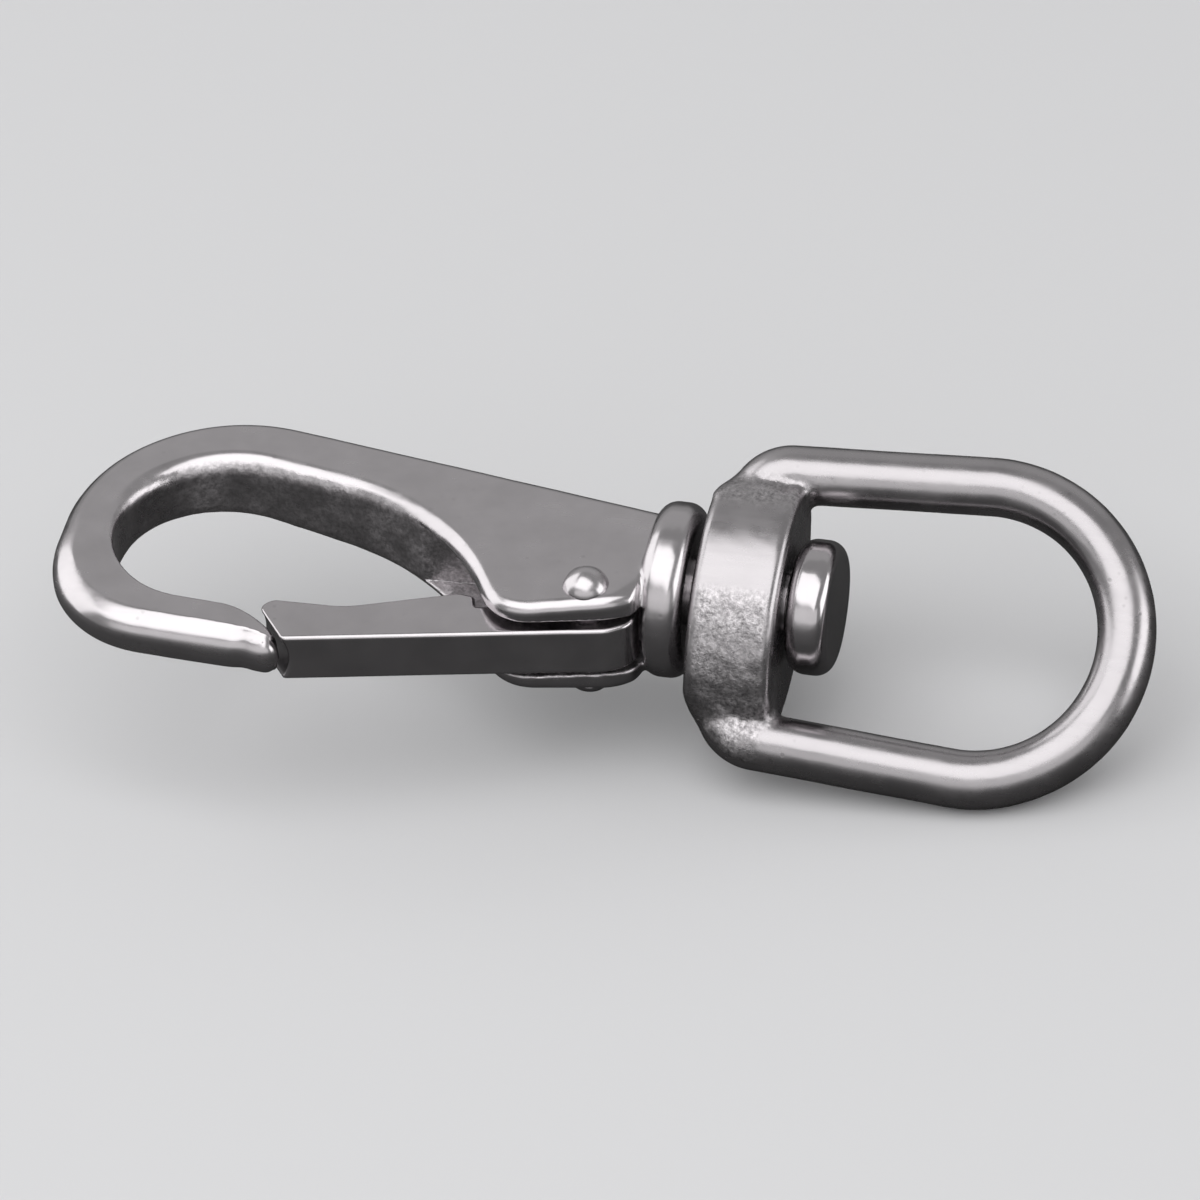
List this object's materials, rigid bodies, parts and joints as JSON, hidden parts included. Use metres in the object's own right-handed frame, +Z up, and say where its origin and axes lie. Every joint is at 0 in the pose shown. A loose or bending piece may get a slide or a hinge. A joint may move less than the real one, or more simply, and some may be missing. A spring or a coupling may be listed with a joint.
{
  "type": "swivel eye snap hook",
  "caption": "Flat cast stainless snap hook with a sprung pivoting gate and a swivelling D-shaped eye, for clipping a line, halyard or strap.",
  "frame": {"origin": "centre of the eye's round bow, on the swivel axis", "axes": "+X along the swivel axis from the hook towards the eye, +Z up from the flat of the hook, spine of the hook on +Y and gate on -Y"},
  "size_m": [0.0988, 0.0291, 0.0221],
  "materials": {
    "hook_steel": "polished cast stainless steel",
    "gate_steel": "polished stainless steel",
    "spring_steel": "drawn stainless spring wire",
    "rivet_steel": "polished stainless steel",
    "eye_steel": "polished cast stainless steel",
    "pin_steel": "polished stainless steel, turned end face"
  },
  "bodies": {
    "hook": {"hook_body": "hook_steel", "gate_rivet": "rivet_steel", "swivel_pin": "pin_steel", "gate_spring": "spring_steel"},
    "gate": {"gate": "gate_steel"},
    "eye": {"swivel_eye": "eye_steel"}
  },
  "joints": [
    {"name": "gate_pivot", "type": "hinge", "parent": "hook", "child": "gate", "pos_m": [-0.03395, -0.00675, 0], "axis": [0, 0, -1], "range_deg": [0, 29], "stiffness_Nm_per_rad": 0.45, "springref_deg": -38.39, "deforming": ["gate_spring"]},
    {"name": "eye_swivel", "type": "hinge", "parent": "hook", "child": "eye", "pos_m": [-0.02095, 0, 0], "axis": [1, 0, 0], "continuous": true}
  ]
}
